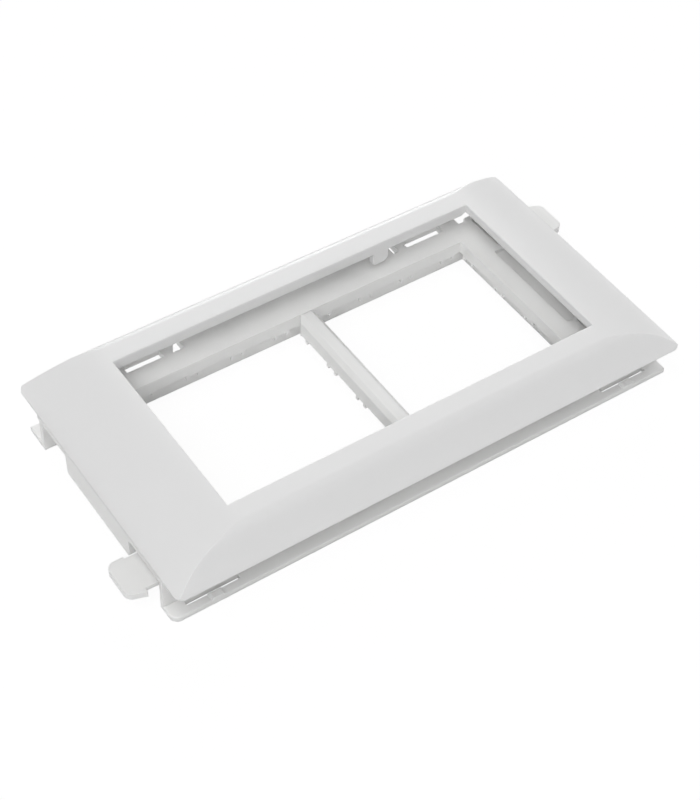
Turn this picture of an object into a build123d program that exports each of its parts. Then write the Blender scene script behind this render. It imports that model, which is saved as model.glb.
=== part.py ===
from build123d import *
import math
import os

# Two-module adapter frame for wiring trunking, in millimetres.
# Two mouldings: a support frame that clips between the trunking's lips and carries two
# square modules, and a bevelled cover frame that clips down over it.
# X runs along the trunking, Y across it, Z away from the wall. The origin is at the
# centre of the support frame's underside.

# Modules and the openings they go into
module_width = 45.0          # front of one module, across the trunking
module_count = 2
window_end_play = 0.45       # cover window past the row of modules, each end
window_side_play = 0.1       # cover window past the modules, each side
aperture_length = 40.5       # opening behind one module, along the trunking
aperture_width = 39.8        # and across it
divider_width = 4.5          # bar between two openings, under both modules' edges

# Heights above the underside
cover_top = 18.0
cover_rim = 10.5
flange_top = 10.0

# Cover frame
cover_length = 125.8
cover_width = 66.2
crest_half_width = 28.4      # where the flat top turns into the long bevels
crest_radius = 2.5
end_curve_start = 45.2       # where the flat top starts to curve down to the ends
cover_corner_radius = 2.0
cover_plate = 2.1            # thickness of the flat top and the curved ends
cover_bevel_wall = 1.8
window_wall = 1.4            # rib along the long sides of the window
window_wall_depth = 2.8
window_wall_slope = 1.1      # length of the rib's sloping ends
window_edge_radius = 0.25

# Fingers that hang from the window's long walls
finger_near_edge = 20.1      # distance of the finger's near side from mid-length
finger_width = 4.1
finger_depth = 6.1           # below the flat top
finger_near_radius = 0.7
finger_far_radius = 1.5

# Legs that hold the cover frame on the support frame
end_rib_at = 52.0
end_rib_length = 10.0
rib_thickness = 1.5
clip_leg_at = 15.0
clip_leg_length = 7.0
clip_leg_thickness = 1.2
clip_leg_reach = 0.85        # below the flange's underside
clip_clearance = 0.2         # between a clip leg and the flange's edge

# Support frame: upper flange
flange_thickness = 1.75
flange_length = 125.2
flange_half_width = 28.4     # between the modules' end walls
flange_wide_half_length = 45.95
flange_neck_half_width = 25.15   # beyond that length
lip_thickness = 1.3          # rib round each aperture
lip_depth = 3.1              # from the flange's top
divider_rise = 0.9           # divider's raised spine, with sloping sides and ends
divider_spine = 2.5
divider_depth = 3.3
relief_length = 2.1          # cut-off corners at the divider's ends
relief_width = 1.5
recess_from = 47.4           # shallow recess in the flange near each end
recess_half_width = 13.25
recess_depth = 0.9

# Support frame: walls
wall = 1.2
skirt_half_length = 46.7     # inside faces of the box behind the modules
skirt_half_width = 23.4
end_wall = 1.4
end_wall_half_width = 13.0
end_wall_bottom = 2.95
end_wall_corner = 1.0
jog = 1.5                    # outward step of the wall beside a coupling tongue
jog_at = 48.12
jog_gusset = 0.7             # sloping corner of the flange at that step

# Support frame: lower shelf
shelf_thickness = 1.25
shelf_half_width = 30.0
shelf_corner_radius = 1.8
shelf_edge_radius = 0.35
shelf_slot_from = 46.3
shelf_slot_to = 58.6
shelf_slot_width = 1.05
shelf_slot_outer = 28.15
stud_centre = 52.35          # trunking studs beside the shelf slots
stud_length = 3.1
stud_height = 0.75
stud_radius = 0.7

# Slots and notches along the flange's long edges
flange_slot_near = 36.35     # centre of the slot beside a finger
flange_slot_near_length = 10.1
flange_slot_far = 36.8
flange_slot_far_length = 9.0
flange_slot_inner = 25.05
flange_slot_width = 2.55
notch_near = 27.5            # narrow notch between a finger and its slot
notch_near_width = 1.55
notch_far = 27.4             # wider notch with one slanting side
notch_far_width = 2.8
notch_slant = 1.5

# Openings in the flange above the coupling tongues and catches
port_to = 60.4
tongue_port_inner = 15.0
catch_port_inner = 13.9

# Coupling tongues and catches, which join frames side by side
tongue_top = 6.4
tongue_tip = 68.9
tongue_neck_end = 64.9
tongue_inner = 15.2
tongue_outer_root = 24.3
tongue_outer_tip = 23.3
tongue_thickness = 1.0
tongue_pad_thickness = 1.6
tongue_pad_step = 0.55
tongue_corner_radius = 1.9
catch_gap = 0.3              # under a neighbour's tongue
catch_end = 56.5
catch_thickness = 1.3

# Pairs of small teeth under the lips, which the modules latch on
tooth_width = 0.8
tooth_height = 1.3
tooth_pairs = ((4.2, 7.0), (15.4, 18.4))     # distances from the middle of an aperture's side
tooth_bridge_height = 0.4                    # between the two teeth of a pair

# Values worked out from the driving dimensions
module_step = aperture_length + divider_width
window_length = module_count * module_step + 2 * window_end_play
window_width = module_width + 2 * window_side_play
aperture_centres = [(i - (module_count - 1) / 2) * module_step for i in range(module_count)]
divider_centres = [(a + b) / 2 for a, b in zip(aperture_centres, aperture_centres[1:])]
flange_bottom = flange_top - flange_thickness
recess_floor = flange_top - recess_depth
lip_bottom = flange_top - lip_depth
skirt_out_x = skirt_half_length + wall
skirt_out_y = skirt_half_width + wall
jog_out_y = skirt_out_y + jog
frame_half_length = flange_length / 2
port_from = jog_at + wall
cover_drop = cover_top - cover_rim
cover_run = cover_length / 2 - end_curve_start
end_radius = (cover_run**2 + cover_drop**2) / (2 * cover_drop)
bevel_run = cover_width / 2 - crest_half_width
bevel_angle = math.atan2(cover_drop, bevel_run)
below = 5.0                  # how far cutting shapes run past a face


def block(x0, x1, y0, y1, z0, z1):
    """A box between two corners."""
    return Pos((x0 + x1) / 2, (y0 + y1) / 2, (z0 + z1) / 2) * Box(abs(x1 - x0), abs(y1 - y0), abs(z1 - z0))


def turned(shape):
    """The same shape half a turn round the upright axis."""
    return Rot(0, 0, 180) * shape


def both_ends(shape):
    """A shape and its copy half a turn round."""
    return [shape, turned(shape)]


def four_ways(shape):
    """A shape mirrored into all four quarters."""
    pair = [shape, mirror(shape, about=Plane.YZ)]
    return pair + [mirror(s, about=Plane.XZ) for s in pair]


def cover_form(top_wall, bevel_wall):
    """Solid under the cover's outer skin, moved inwards by the wall thicknesses."""
    top = cover_top - top_wall
    foot = cover_rim - below
    bevel_shift = bevel_wall / math.sin(bevel_angle)
    slope = bevel_run / cover_drop
    rim_y = cover_width / 2 - bevel_shift
    crest_y = rim_y - (top - cover_rim) * slope
    section = make_face(Polyline(
        (-rim_y, foot), (-rim_y, cover_rim), (-crest_y, top),
        (crest_y, top), (rim_y, cover_rim), (rim_y, foot), close=True))
    crests = section.vertices().group_by(Axis.Y)[-1]
    section = fillet(crests, crest_radius - top_wall / 2)
    along = extrude(Plane.YZ * section, cover_length, both=True)

    radius = end_radius - top_wall
    depth = radius - (top - cover_rim)
    run = math.sqrt(radius**2 - depth**2)
    half = math.atan2(run, depth) / 2
    mid = (end_curve_start + radius * math.sin(half), top - radius * (1 - math.cos(half)))
    rim_x = end_curve_start + run
    right = ThreePointArc((end_curve_start, top), mid, (rim_x, cover_rim))
    left = ThreePointArc((-rim_x, cover_rim), (-mid[0], mid[1]), (-end_curve_start, top))
    flat = Line((-end_curve_start, top), (end_curve_start, top))
    under = Polyline((rim_x, cover_rim), (rim_x, foot), (-rim_x, foot), (-rim_x, cover_rim))
    profile = make_face([left, flat, right, under])
    across = extrude(Plane.XZ * profile, cover_width, both=True)
    return along & across


def finger():
    """Finger with a round tip, flush with the window's far long wall."""
    x0, x1 = finger_near_edge, finger_near_edge + finger_width
    z0, z1 = cover_top - finger_depth, cover_top - cover_plate
    shape = block(x0, x1, window_width / 2, window_width / 2 + window_wall, z0, z1)
    far = shape.edges().filter_by(Axis.Y).sort_by(lambda e: e.center().X - e.center().Z)[-1]
    shape = fillet(far, finger_far_radius)
    near = shape.edges().filter_by(Axis.Y).sort_by(lambda e: e.center().X + e.center().Z)[0]
    return fillet(near, finger_near_radius)


def window_rib():
    """Rib under the window's far long edge, with sloping ends."""
    under, low = cover_top - cover_plate, cover_top - window_wall_depth
    long = window_length / 2
    short = long - window_wall_slope
    profile = make_face(Polyline(
        (-long, under + cover_plate / 2), (-long, under), (-short, low), (short, low), (long, under),
        (long, under + cover_plate / 2), close=True))
    return Pos(0, window_width / 2 + window_wall, 0) * extrude(Plane.XZ * profile, window_wall)


def cover_frame():
    """Bevelled cover frame, one thin-walled moulding."""
    skin = cover_form(0, 0)
    outline = extrude(Pos(0, 0, cover_rim) * RectangleRounded(cover_length, cover_width, cover_corner_radius),
                      cover_drop)
    skin = skin & outline
    cavity = cover_form(cover_plate, cover_bevel_wall)
    body = skin - cavity

    for shape in both_ends(window_rib()):
        body += shape
    window = block(-window_length / 2, window_length / 2, -window_width / 2, window_width / 2,
                   cover_rim - below, cover_top + below)
    body -= window
    for shape in both_ends(finger()):
        body += shape

    rib = block(end_rib_at, end_rib_at + rib_thickness, -end_rib_length / 2, end_rib_length / 2,
                recess_floor, cover_top - cover_plate)
    rib = rib & cover_form(cover_plate / 2, cover_bevel_wall / 2)
    leg_y = flange_half_width + clip_clearance
    leg = block(-clip_leg_length / 2, clip_leg_length / 2, leg_y, leg_y + clip_leg_thickness,
                flange_bottom - clip_leg_reach, cover_top)
    leg = leg & cover_form(cover_plate / 2, cover_bevel_wall / 2)
    for shape in both_ends(rib):
        body += shape
    for x in (-clip_leg_at, clip_leg_at):
        for shape in both_ends(Pos(x, 0, 0) * leg):
            body += shape

    lip = [e for e in body.edges().filter_by(GeomType.LINE)
           if abs(e.center().Z - cover_top) < 0.01 and abs(e.center().X) < window_length / 2 + 0.01
           and abs(e.center().Y) < window_width / 2 + 0.01]
    return fillet(lip, window_edge_radius)


def tongue():
    """Coupling tongue at the right end: a flat neck with a thicker, wider tip."""
    neck = make_face(Polyline(
        (skirt_out_x - wall / 2, tongue_inner), (tongue_tip - tongue_corner_radius, tongue_inner),
        (tongue_tip - tongue_corner_radius, tongue_outer_tip),
        (tongue_neck_end, tongue_outer_tip + tongue_pad_step / 2),
        (skirt_out_x - wall / 2, tongue_outer_root), close=True))
    pad = make_face(Polyline(
        (tongue_neck_end, tongue_inner - tongue_pad_step), (tongue_tip, tongue_inner - tongue_pad_step),
        (tongue_tip, tongue_outer_tip), (tongue_neck_end, tongue_outer_root + tongue_pad_step / 2),
        close=True))
    pad = fillet(pad.vertices().group_by(Axis.X)[-1], tongue_corner_radius)
    shape = extrude(Pos(0, 0, tongue_top - tongue_thickness) * neck, tongue_thickness)
    return shape + extrude(Pos(0, 0, tongue_top - tongue_pad_thickness) * pad, tongue_pad_thickness)


def teeth():
    """Latching teeth under the lips on the four sides of one aperture, in bridged pairs."""
    low = lip_bottom - tooth_height
    bridge_low = lip_bottom - tooth_bridge_height
    shapes = []
    for angle in (0, 90, 180, 270):
        inner = (aperture_width if angle % 180 == 0 else aperture_length) / 2
        side = []
        for pair in tooth_pairs:
            for offset in pair:
                x0, x1 = offset - tooth_width / 2, offset + tooth_width / 2
                side.append(block(x0, x1, inner, inner + lip_thickness, low, lip_bottom))
            side.append(block(pair[0], pair[1], inner, inner + lip_thickness, bridge_low, lip_bottom))
        shapes += [Rot(0, 0, angle) * s for s in side + [mirror(s, about=Plane.YZ) for s in side]]
    return shapes


def divider(x):
    """Bar between two apertures: a raised spine with sloping sides and ends."""
    half = aperture_width / 2
    inset = (divider_width - divider_spine) / 2
    bar = block(x - divider_width / 2, x + divider_width / 2, -half - lip_thickness,
                half + lip_thickness, flange_top - divider_depth, flange_top)
    foot = Pos(x, 0, flange_top) * Rectangle(divider_width, aperture_width)
    crest = Pos(x, 0, flange_top + divider_rise) * Rectangle(divider_spine, aperture_width - 2 * inset)
    return bar + loft([foot, crest])


def reliefs(x):
    """Corners to cut off at both ends of one divider."""
    edge, end = divider_width / 2, aperture_width / 2
    corner = make_face(Polyline(
        (edge, end - relief_length), (edge, end), (edge - relief_width, end), close=True))
    prism = extrude(Pos(0, 0, -below) * corner, cover_top + below)
    return [Pos(x, 0, 0) * s for s in four_ways(prism)]


def flange():
    """Upper flange with its recesses, slots, notches and ports."""
    z0, z1 = flange_bottom, flange_top
    wide, half, neck = flange_wide_half_length, frame_half_length, flange_neck_half_width
    shape = block(-wide, wide, -flange_half_width, flange_half_width, z0, z1)
    corner = make_face(Polyline(
        (-half, 0), (-half, neck), (jog_at - jog_gusset, neck), (jog_at, neck + jog_gusset),
        (jog_at, jog_out_y), (half, jog_out_y), (half, 0), close=True))
    for side in both_ends(extrude(Pos(0, 0, z0) * corner, flange_thickness)):
        shape += side
    for recess in both_ends(block(recess_from, half - end_wall, -recess_half_width, recess_half_width,
                                  recess_floor, z1)):
        shape -= recess

    y0, y1 = flange_slot_inner, flange_slot_inner + flange_slot_width
    edge = flange_half_width + below
    near, far = flange_slot_near_length / 2, flange_slot_far_length / 2
    notch_end = notch_far + notch_far_width
    slant = make_face(Polyline(
        (-notch_far, y0), (-notch_far, edge), (notch_slant - notch_end, edge),
        (notch_slant - notch_end, y1), (-notch_end, y0), close=True))
    cuts = [block(flange_slot_near - near, flange_slot_near + near, y0, y1, z0 - below, z1 + below),
            block(-flange_slot_far - far, -flange_slot_far + far, y0, y1, z0 - below, z1 + below),
            block(notch_near, notch_near + notch_near_width, y0, edge, z0 - below, z1 + below),
            extrude(Pos(0, 0, z0 - below) * slant, flange_thickness + 2 * below),
            block(port_from, port_to, tongue_port_inner, jog_out_y - wall, z0 - below, z1 + below),
            block(-port_to, -port_from, catch_port_inner, skirt_half_width, z0 - below, z1 + below)]
    for cut in cuts:
        for copy in both_ends(cut):
            shape -= copy
    return shape


def walls():
    """Box behind the modules, long side walls, end walls and their webs."""
    z1 = flange_bottom
    shape = block(-skirt_out_x, skirt_out_x, -skirt_out_y, skirt_out_y, 0, z1)
    shape -= block(-skirt_half_length, skirt_half_length, -skirt_half_width, skirt_half_width,
                   -below, z1 + below)
    half = frame_half_length
    plain = block(-half, -skirt_half_length, skirt_half_width, skirt_out_y, 0, z1)
    jogged = block(jog_at, half, jog_out_y - wall, jog_out_y, 0, z1)
    jogged += block(jog_at, port_from, skirt_half_width, jog_out_y, 0, z1)
    jogged += block(skirt_half_length, port_from, skirt_half_width, skirt_out_y, 0, z1)
    end = block(half - end_wall, half, -end_wall_half_width, end_wall_half_width, end_wall_bottom, z1)
    end = fillet(end.edges().filter_by(Axis.X).group_by(Axis.Z)[0], end_wall_corner)
    web = block(skirt_out_x - wall / 2, half - end_wall / 2, end_wall_half_width - wall, end_wall_half_width,
                end_wall_bottom + end_wall_corner, z1)
    for piece in (plain, jogged, end, web, mirror(web, about=Plane.XZ)):
        for copy in both_ends(piece):
            shape += copy
    return shape


def shelf():
    """Lower shelf along each long side, with its slots and studs."""
    half = frame_half_length
    plate = block(-half, half, skirt_half_width, shelf_half_width, 0, shelf_thickness)
    plate -= block(port_from, half, skirt_half_width, jog_out_y - wall, -below, below)
    corner = plate.edges().filter_by(Axis.Z).sort_by(lambda e: e.center().X + e.center().Y)[-1]
    plate = fillet(corner, shelf_corner_radius)
    rim = [e for e in plate.faces().sort_by(Axis.Z)[-1].edges()
           if e.center().Y > shelf_half_width - shelf_corner_radius]
    plate = fillet(rim, shelf_edge_radius)
    slot = block(shelf_slot_from, shelf_slot_to, shelf_slot_outer - shelf_slot_width, shelf_slot_outer,
                 -below, below)
    stud = block(stud_centre - stud_length / 2, stud_centre + stud_length / 2, shelf_slot_outer,
                 shelf_half_width, shelf_thickness / 2, shelf_thickness + stud_height)
    tops = stud.faces().sort_by(Axis.Z)[-1].edges()
    stud = fillet(tops.sort_by(Axis.Y)[:-1], stud_radius)
    for side in (slot, mirror(slot, about=Plane.YZ)):
        plate -= side
    for side in (stud, mirror(stud, about=Plane.YZ)):
        plate += side
    return both_ends(plate)


def support_frame():
    """Support frame, one moulding."""
    body = flange() + walls()
    for plate in shelf():
        body += plate
    for x in aperture_centres:
        half_x, half_y = aperture_length / 2 + lip_thickness, aperture_width / 2 + lip_thickness
        body += block(x - half_x, x + half_x, -half_y, half_y, lip_bottom, flange_bottom)
    for x in divider_centres:
        body += divider(x)
    for x in aperture_centres:
        body -= block(x - aperture_length / 2, x + aperture_length / 2, -aperture_width / 2,
                      aperture_width / 2, -below, cover_top)
    for x in aperture_centres:
        for tooth in teeth():
            body += Pos(x, 0, 0) * tooth
    for x in divider_centres:
        for relief in reliefs(x):
            body -= relief
    for shape in both_ends(tongue()):
        body += shape
    catch_top = tongue_top - tongue_pad_thickness - catch_gap
    catch = block(-catch_end, -skirt_out_x + wall / 2, catch_port_inner, skirt_half_width + wall / 2,
                  catch_top - catch_thickness, catch_top)
    for shape in both_ends(catch):
        body += shape
    return body


def save(name, shape):
    """Write one moulding as one STEP file."""
    solids = shape.solids()
    if len(solids) != 1:
        raise ValueError(f"{name} came out as {len(solids)} solids")
    export_step(solids[0], os.path.join("parts", name + ".step"))


os.makedirs("parts", exist_ok=True)
save("cover_frame", cover_frame())
save("support_frame", support_frame())
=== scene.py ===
import math

import bmesh
import bpy
from mathutils import Matrix, Vector

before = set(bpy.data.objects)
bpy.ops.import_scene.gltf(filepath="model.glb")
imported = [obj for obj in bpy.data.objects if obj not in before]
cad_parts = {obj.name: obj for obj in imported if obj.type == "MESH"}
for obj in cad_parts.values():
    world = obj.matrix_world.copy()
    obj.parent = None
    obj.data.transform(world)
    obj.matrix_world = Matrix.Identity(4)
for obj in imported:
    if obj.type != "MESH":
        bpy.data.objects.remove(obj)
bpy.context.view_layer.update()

# Adapter frame for two square modules in wiring trunking: a moulded cover frame clipped
# over a moulded support frame. Lengths are millimetres, turned to metres by MM.
MM = 0.001

# Camera, solved from the photograph's window corners and rim lines
CAMERA_PLACE = (-156.94, -216.72, 292.63)
CAMERA_AIM = (-5.39, -6.10, 9.0)
CAMERA_ROLL = 2.258                  # degrees, turned about the line of sight
CAMERA_LENS = 82.20                  # for a 36 mm sensor on the image's long side
CAMERA_CLIP = 10.0                   # nearest thing that it sees

# Studio: white paper, weak light from all round and six soft square lamps far away
FLOOR_SIZE = 4000.0
PAPER_WHITE = "#F4F4F4"
SKY_WHITE = "#FFFFFF"
SKY_LEVEL = 0.12
SHADOW_SHARE = 0.10                  # how much of its shadow the white floor shows
BACKDROP_LEVEL = 1.04                # what the camera and mirrors see round the object
SOFTBOX_SIZE = 1000.0
SOFTBOX_DISTANCE = 2000.0
SOFTBOXES = (                        # name, degrees round from +X, degrees above the floor, watts
    ("key", 240, 62, 10.2),
    ("left", 180, 62, 8.1),
    ("front", 225, 36, 8.9),
    ("right", 0, 12, 6.0),
    ("back", 60, 13, 9.6),
    ("top sheen", 60, 36, 4.4),
)

# White ABS, which lets a little light through its thin walls, from polished moulds
COVER_WHITE = "#F4F4F4"
SUPPORT_WHITE = "#F4F4F3"
ABS_IOR = 1.54
COVER_ROUGHNESS = 0.30
SUPPORT_ROUGHNESS = 0.36
MILKINESS = 0.5                      # share of the light that passes under the skin
SCATTER_DEPTH = 1.2                  # and how far it spreads there
SCATTER_COLOURS = (1.0, 1.0, 1.0)    # red, green and blue spread alike
MOULD_EDGE = 0.18                    # radius that a polished mould leaves on sharp edges
EDGE_SAMPLES = 6
ORANGE_PEEL = (0.9, 3.0, 0.45)       # ripples of the polished mould: width, detail, roughness
ORANGE_PEEL_DEPTH = 0.004
ORANGE_PEEL_STRENGTH = 0.35
FLOW_PATCHES = (14.0, 2.0, 0.5)      # faint patches where the melt cooled unevenly, likewise
FLOW_SHADE = 0.99                    # how much light the dullest of them sends back

# A Mix node numbers the sockets of all its kinds together, and these are the colour ones
MIX_FIRST = 6
MIX_SECOND = 7
MIX_RESULT = 2


def linear(hex_colour):
    """An sRGB hex colour as linear values."""
    values = []
    for i in (1, 3, 5):
        c = int(hex_colour[i:i + 2], 16) / 255
        values.append(c / 12.92 if c <= 0.04045 else ((c + 0.055) / 1.055) ** 2.4)
    return (*values, 1.0)


def node(tree, kind, settings=None, **links):
    """Add a node and set its sockets and properties. A keyword links an output to the socket
    of its name, or of its number where it reads i0, i1 or i2."""
    new = tree.nodes.new(kind)
    for name, value in (settings or {}).items():
        if name in new.inputs:
            new.inputs[name].default_value = value
        else:
            setattr(new, name, value)
    for name, source in links.items():
        numbered = name[0] == "i" and name[1:].isdigit()
        socket = new.inputs[int(name[1:]) if numbered else name]
        tree.links.new(source, socket)
    return new


def tree_of(owner):
    """An emptied node tree."""
    owner.use_nodes = True
    owner.node_tree.nodes.clear()
    return owner.node_tree


def noise(tree, place, width, detail, roughness):
    """Noise with patches of a width in millimetres."""
    settings = {"Scale": 1 / (width * MM), "Detail": detail, "Roughness": roughness}
    return node(tree, "ShaderNodeTexNoise", settings, Vector=place).outputs["Fac"]


def moulded_abs(name, colour, roughness):
    """White ABS from a polished mould: an even satin white with soft edges, a slight ripple in
    its gloss and flow patches that hardly show."""
    material = bpy.data.materials.new(name)
    tree = tree_of(material)
    place = node(tree, "ShaderNodeTexCoord").outputs["Object"]
    base = linear(colour)
    dull = [c * FLOW_SHADE for c in base[:3]] + [1.0]
    tint = node(tree, "ShaderNodeMix", {"data_type": "RGBA"},
                Factor=noise(tree, place, *FLOW_PATCHES))
    tint.inputs[MIX_FIRST].default_value = dull
    tint.inputs[MIX_SECOND].default_value = base
    edge = node(tree, "ShaderNodeBevel", {"samples": EDGE_SAMPLES, "Radius": MOULD_EDGE * MM})
    bump = node(tree, "ShaderNodeBump",
                {"Strength": ORANGE_PEEL_STRENGTH, "Distance": ORANGE_PEEL_DEPTH * MM},
                Height=noise(tree, place, *ORANGE_PEEL), Normal=edge.outputs["Normal"])
    plastic = node(tree, "ShaderNodeBsdfPrincipled",
                   {"Roughness": roughness, "IOR": ABS_IOR, "Subsurface Weight": MILKINESS,
                    "Subsurface Radius": SCATTER_COLOURS, "Subsurface Scale": SCATTER_DEPTH * MM})
    tree.links.new(tint.outputs[MIX_RESULT], plastic.inputs["Base Color"])
    tree.links.new(bump.outputs["Normal"], plastic.inputs["Normal"])
    node(tree, "ShaderNodeOutputMaterial", Surface=plastic.outputs["BSDF"])
    return material


def seen_directly(tree):
    """1 for rays from the camera, a mirror or a clear body, 0 for light that bounces."""
    path = node(tree, "ShaderNodeLightPath")
    first = node(tree, "ShaderNodeMath", {"operation": "MAXIMUM"},
                 i0=path.outputs["Is Camera Ray"], i1=path.outputs["Is Glossy Ray"])
    both = node(tree, "ShaderNodeMath", {"operation": "MAXIMUM"},
                i0=first.outputs[0], i1=path.outputs["Is Transmission Ray"])
    return both.outputs[0]


def dress(name, material):
    """Give a moulding its plastic."""
    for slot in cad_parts[name].material_slots:
        slot.material = material


def studio_floor():
    """White paper floor that keeps a faint shadow of the object."""
    bm = bmesh.new()
    bmesh.ops.create_grid(bm, x_segments=1, y_segments=1, size=FLOOR_SIZE * MM / 2)
    mesh = bpy.data.meshes.new("floor")
    bm.to_mesh(mesh)
    bm.free()
    floor = bpy.data.objects.new("floor", mesh)
    bpy.context.scene.collection.objects.link(floor)
    material = bpy.data.materials.new("white_paper")
    tree = tree_of(material)
    paper = node(tree, "ShaderNodeBsdfDiffuse", {"Color": linear(PAPER_WHITE)})
    glow = node(tree, "ShaderNodeEmission", {"Strength": BACKDROP_LEVEL})
    shown = node(tree, "ShaderNodeMixShader", {"Fac": SHADOW_SHARE},
                 i1=glow.outputs[0], i2=paper.outputs[0])
    mixed = node(tree, "ShaderNodeMixShader",
                 i0=seen_directly(tree), i1=paper.outputs[0], i2=shown.outputs[0])
    node(tree, "ShaderNodeOutputMaterial", Surface=mixed.outputs[0])
    mesh.materials.append(material)


def sky():
    """Even light from all round, with a white backdrop."""
    world = bpy.data.worlds.new("studio")
    bpy.context.scene.world = world
    tree = tree_of(world)
    level = node(tree, "ShaderNodeMapRange", {"To Min": SKY_LEVEL, "To Max": BACKDROP_LEVEL},
                 Value=seen_directly(tree))
    light = node(tree, "ShaderNodeBackground", {"Color": linear(SKY_WHITE)},
                 Strength=level.outputs["Result"])
    node(tree, "ShaderNodeOutputWorld", Surface=light.outputs[0])


def softbox(name, turn, height, watts):
    """A square lamp that points at the object from SOFTBOX_DISTANCE."""
    data = bpy.data.lights.new(name, "AREA")
    data.shape = "SQUARE"
    data.size = SOFTBOX_SIZE * MM
    data.energy = watts
    lamp = bpy.data.objects.new(name, data)
    bpy.context.scene.collection.objects.link(lamp)
    turn, height = math.radians(turn), math.radians(height)
    level = math.cos(height)
    away = Vector((level * math.cos(turn), level * math.sin(turn), math.sin(height)))
    aim = (-away).to_track_quat("-Z", "Y").to_matrix().to_4x4()
    lamp.matrix_world = Matrix.Translation(away * SOFTBOX_DISTANCE * MM) @ aim


def camera():
    """Camera at the photograph's place."""
    data = bpy.data.cameras.new("camera")
    data.lens = CAMERA_LENS
    data.clip_start = CAMERA_CLIP * MM
    eye = bpy.data.objects.new("camera", data)
    bpy.context.scene.collection.objects.link(eye)
    place, aim = Vector(CAMERA_PLACE) * MM, Vector(CAMERA_AIM) * MM
    look = (aim - place).to_track_quat("-Z", "Y").to_matrix().to_4x4()
    roll = Matrix.Rotation(math.radians(CAMERA_ROLL), 4, "Z")
    eye.matrix_world = Matrix.Translation(place) @ look @ roll
    bpy.context.scene.camera = eye


dress("cover_frame", moulded_abs("moulded_abs_cover", COVER_WHITE, COVER_ROUGHNESS))
dress("support_frame", moulded_abs("moulded_abs_support", SUPPORT_WHITE, SUPPORT_ROUGHNESS))
studio_floor()
sky()
for lamp in SOFTBOXES:
    softbox(*lamp)
camera()
bpy.context.scene.view_settings.view_transform = "Standard"
